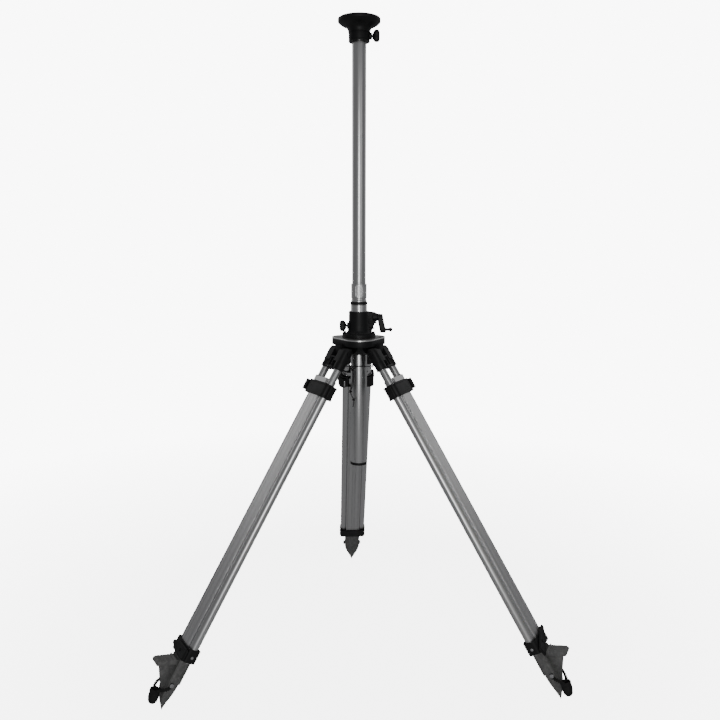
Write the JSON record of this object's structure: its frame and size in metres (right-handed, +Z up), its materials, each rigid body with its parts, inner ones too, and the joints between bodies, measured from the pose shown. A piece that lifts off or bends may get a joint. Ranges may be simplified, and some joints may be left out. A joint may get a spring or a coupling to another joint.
{
  "type": "elevating tripod",
  "caption": "Floor tripod with a crank-raised column, flat threaded instrument plate, clamped telescopic legs and spiked feet with tethered rubber caps.",
  "frame": {"origin": "on the floor, at the middle of the tripod's footprint box", "axes": "+Z up along the column; -Y towards the side between the two front legs; +X towards the crank"},
  "size_m": [1.2038, 1.0724, 1.9446],
  "materials": {
    "tripod_head": "die casting with a satin black coating",
    "column_housing": "die casting with a satin black coating",
    "cord_hook_left": "bright steel",
    "cord_hook_right": "bright steel",
    "cord_span": "black braided cord",
    "cord_knot": "black braided cord",
    "cord_tail": "black braided cord",
    "outer_tube": "satin anodised",
    "gear_rack": "bright steel",
    "bottom_cap": "black moulded plastic",
    "collet": "satin anodised",
    "wiper_ring": "black moulded plastic",
    "collar_nut": "satin anodised",
    "inner_tube": "satin anodised",
    "slide_bush": "black moulded plastic",
    "mounting_plate": "die casting with a satin black coating",
    "instrument_stud": "bright steel",
    "head_thumb_screw": "black moulded plastic",
    "pinion": "bright steel",
    "crank_arm": "die casting with a satin black coating",
    "crank_handle": "black moulded plastic",
    "clamp_knob": "black moulded plastic",
    "leg_head_1": "die casting with a satin black coating",
    "hinge_pin_1": "bright steel",
    "top_tube_a_1": "drawn aluminium tube, satin",
    "top_tube_b_1": "drawn aluminium tube, satin",
    "middle_section_1": "satin anodised extrusion",
    "upper_clamp_1": "black moulded plastic",
    "lower_clamp_1": "black moulded plastic",
    "upper_lever_1": "black moulded plastic",
    "lower_lever_1": "black moulded plastic",
    "foot_1": "grey die casting",
    "strap_screw_1": "bright steel",
    "rubber_cap_1": "black rubber",
    "leg_head_2": "die casting with a satin black coating",
    "hinge_pin_2": "bright steel",
    "top_tube_a_2": "drawn aluminium tube, satin",
    "top_tube_b_2": "drawn aluminium tube, satin",
    "middle_section_2": "satin anodised extrusion",
    "upper_clamp_2": "black moulded plastic",
    "lower_clamp_2": "black moulded plastic",
    "upper_lever_2": "black moulded plastic",
    "lower_lever_2": "black moulded plastic",
    "foot_2": "grey die casting",
    "strap_screw_2": "bright steel",
    "rubber_cap_2": "black rubber",
    "leg_head_3": "die casting with a satin black coating",
    "hinge_pin_3": "bright steel",
    "top_tube_a_3": "drawn aluminium tube, satin",
    "top_tube_b_3": "drawn aluminium tube, satin",
    "middle_section_3": "satin anodised extrusion",
    "upper_clamp_3": "black moulded plastic",
    "lower_clamp_3": "black moulded plastic",
    "upper_lever_3": "black moulded plastic",
    "lower_lever_3": "black moulded plastic",
    "foot_3": "grey die casting",
    "strap_screw_3": "bright steel",
    "rubber_cap_3": "black rubber"
  },
  "bodies": {
    "head": {"tripod_head": "tripod_head", "column_housing": "column_housing", "cord_hook_left": "cord_hook_left", "cord_hook_right": "cord_hook_right", "cord_span": "cord_span", "cord_knot": "cord_knot", "cord_tail": "cord_tail"},
    "column": {"outer_tube": "outer_tube", "gear_rack": "gear_rack", "bottom_cap": "bottom_cap", "collet": "collet", "wiper_ring": "wiper_ring"},
    "collar": {"collar_nut": "collar_nut"},
    "mast": {"inner_tube": "inner_tube", "slide_bush": "slide_bush"},
    "plate": {"mounting_plate": "mounting_plate", "instrument_stud": "instrument_stud"},
    "thumb_screw": {"head_thumb_screw": "head_thumb_screw"},
    "crank": {"pinion": "pinion", "crank_arm": "crank_arm"},
    "handle": {"crank_handle": "crank_handle"},
    "clamp_knob": {"clamp_knob": "clamp_knob"},
    "leg_1": {"leg_head_1": "leg_head_1", "hinge_pin_1": "hinge_pin_1", "top_tube_a_1": "top_tube_a_1", "top_tube_b_1": "top_tube_b_1"},
    "middle_1": {"middle_section_1": "middle_section_1", "upper_clamp_1": "upper_clamp_1", "lower_clamp_1": "lower_clamp_1"},
    "upper_lever_1": {"upper_lever_1": "upper_lever_1"},
    "lower_lever_1": {"lower_lever_1": "lower_lever_1"},
    "foot_1": {"foot_1": "foot_1", "strap_screw_1": "strap_screw_1"},
    "cap_1": {"rubber_cap_1": "rubber_cap_1"},
    "leg_2": {"leg_head_2": "leg_head_2", "hinge_pin_2": "hinge_pin_2", "top_tube_a_2": "top_tube_a_2", "top_tube_b_2": "top_tube_b_2"},
    "middle_2": {"middle_section_2": "middle_section_2", "upper_clamp_2": "upper_clamp_2", "lower_clamp_2": "lower_clamp_2"},
    "upper_lever_2": {"upper_lever_2": "upper_lever_2"},
    "lower_lever_2": {"lower_lever_2": "lower_lever_2"},
    "foot_2": {"foot_2": "foot_2", "strap_screw_2": "strap_screw_2"},
    "cap_2": {"rubber_cap_2": "rubber_cap_2"},
    "leg_3": {"leg_head_3": "leg_head_3", "hinge_pin_3": "hinge_pin_3", "top_tube_a_3": "top_tube_a_3", "top_tube_b_3": "top_tube_b_3"},
    "middle_3": {"middle_section_3": "middle_section_3", "upper_clamp_3": "upper_clamp_3", "lower_clamp_3": "lower_clamp_3"},
    "upper_lever_3": {"upper_lever_3": "upper_lever_3"},
    "lower_lever_3": {"lower_lever_3": "lower_lever_3"},
    "foot_3": {"foot_3": "foot_3", "strap_screw_3": "strap_screw_3"},
    "cap_3": {"rubber_cap_3": "rubber_cap_3"}
  },
  "joints": [
    {"name": "column_lift", "type": "slide", "parent": "head", "child": "column", "axis": [0, 0, 1], "range_m": [-0.018, 0.28]},
    {"name": "collar_twist", "type": "hinge", "parent": "column", "child": "collar", "pos_m": [0.005, -0.1626, 1.16], "axis": [0, 0, 1], "range_deg": [0, 90]},
    {"name": "mast_slide", "type": "slide", "parent": "column", "child": "mast", "axis": [0, 0, 1], "range_m": [-0.385, 0]},
    {"name": "plate_turn", "type": "hinge", "parent": "mast", "child": "plate", "pos_m": [0.005, -0.1626, 1.89], "axis": [0, 0, 1], "continuous": true},
    {"name": "thumb_screw_turn", "type": "hinge", "parent": "plate", "child": "thumb_screw", "pos_m": [0.045, -0.1626, 1.884], "axis": [1, 0, 0], "continuous": true},
    {"name": "crank_turn", "type": "hinge", "parent": "head", "child": "crank", "pos_m": [0.065, -0.1216, 1.076], "axis": [1, 0, 0], "range_deg": [-1340, 90]},
    {"name": "handle_spin", "type": "hinge", "parent": "crank", "child": "handle", "pos_m": [0.095, -0.1216, 1.037], "axis": [1, 0, 0], "continuous": true},
    {"name": "clamp_knob_turn", "type": "hinge", "parent": "head", "child": "clamp_knob", "pos_m": [-0.04, -0.1626, 1.054], "axis": [-1, 0, 0], "continuous": true},
    {"name": "leg_fold_1", "type": "hinge", "parent": "head", "child": "leg_1", "pos_m": [-0.05288, -0.19602, 0.9766], "axis": [0.5, -0.866, 0], "range_deg": [0, 26]},
    {"name": "middle_slide_1", "type": "slide", "parent": "leg_1", "child": "middle_1", "axis": [-0.4624, -0.267, -0.8455], "range_m": [0, 0.6]},
    {"name": "foot_slide_1", "type": "slide", "parent": "middle_1", "child": "foot_1", "axis": [-0.4624, -0.267, -0.8455], "range_m": [0, 0.5]},
    {"name": "upper_lever_turn_1", "type": "hinge", "parent": "middle_1", "child": "upper_lever_1", "pos_m": [-0.11351, -0.18253, 0.85412], "axis": [-0.4624, -0.267, -0.8455], "range_deg": [0, 115]},
    {"name": "lower_lever_turn_1", "type": "hinge", "parent": "middle_1", "child": "lower_lever_1", "pos_m": [-0.51257, -0.47066, 0.16986], "axis": [0.7323, 0.4228, -0.5339], "range_deg": [0, 27]},
    {"name": "cap_swing_1", "type": "hinge", "parent": "foot_1", "child": "cap_1", "pos_m": [-0.54896, -0.48243, 0.08349], "axis": [-0.5, 0.866, 0], "range_deg": [0, 50]},
    {"name": "leg_fold_2", "type": "hinge", "parent": "head", "child": "leg_2", "pos_m": [0.06288, -0.19602, 0.9766], "axis": [0.5, 0.866, 0], "range_deg": [0, 26]},
    {"name": "middle_slide_2", "type": "slide", "parent": "leg_2", "child": "middle_2", "axis": [0.4624, -0.267, -0.8455], "range_m": [0, 0.6]},
    {"name": "foot_slide_2", "type": "slide", "parent": "middle_2", "child": "foot_2", "axis": [0.4624, -0.267, -0.8455], "range_m": [0, 0.5]},
    {"name": "upper_lever_turn_2", "type": "hinge", "parent": "middle_2", "child": "upper_lever_2", "pos_m": [0.12351, -0.18253, 0.85412], "axis": [-0.4624, 0.267, 0.8455], "range_deg": [0, 115]},
    {"name": "lower_lever_turn_2", "type": "hinge", "parent": "middle_2", "child": "lower_lever_2", "pos_m": [0.52257, -0.47066, 0.16986], "axis": [0.7323, -0.4228, 0.5339], "range_deg": [-27, 0]},
    {"name": "cap_swing_2", "type": "hinge", "parent": "foot_2", "child": "cap_2", "pos_m": [0.55896, -0.48243, 0.08349], "axis": [-0.5, -0.866, 0], "range_deg": [0, 50]},
    {"name": "leg_fold_3", "type": "hinge", "parent": "head", "child": "leg_3", "pos_m": [0.005, -0.09577, 0.9766], "axis": [-1, 0, 0], "range_deg": [0, 26]},
    {"name": "middle_slide_3", "type": "slide", "parent": "leg_3", "child": "middle_3", "axis": [0, 0.5339, -0.8455], "range_m": [0, 0.6]},
    {"name": "foot_slide_3", "type": "slide", "parent": "middle_3", "child": "foot_3", "axis": [0, 0.5339, -0.8455], "range_m": [0, 0.5]},
    {"name": "upper_lever_turn_3", "type": "hinge", "parent": "middle_3", "child": "upper_lever_3", "pos_m": [-0.037, -0.05, 0.85412], "axis": [0, -0.5339, 0.8455], "range_deg": [0, 115]},
    {"name": "lower_lever_turn_3", "type": "hinge", "parent": "middle_3", "child": "lower_lever_3", "pos_m": [0.013, 0.43966, 0.16986], "axis": [0, 0.8455, 0.5339], "range_deg": [0, 27]},
    {"name": "cap_swing_3", "type": "hinge", "parent": "foot_3", "child": "cap_3", "pos_m": [0.005, 0.47705, 0.08349], "axis": [1, 0, 0], "range_deg": [0, 50]}
  ],
  "couplings": [
    {"joint": "crank_turn", "follows": "column_lift", "rad_per_m": -83.333}
  ]
}
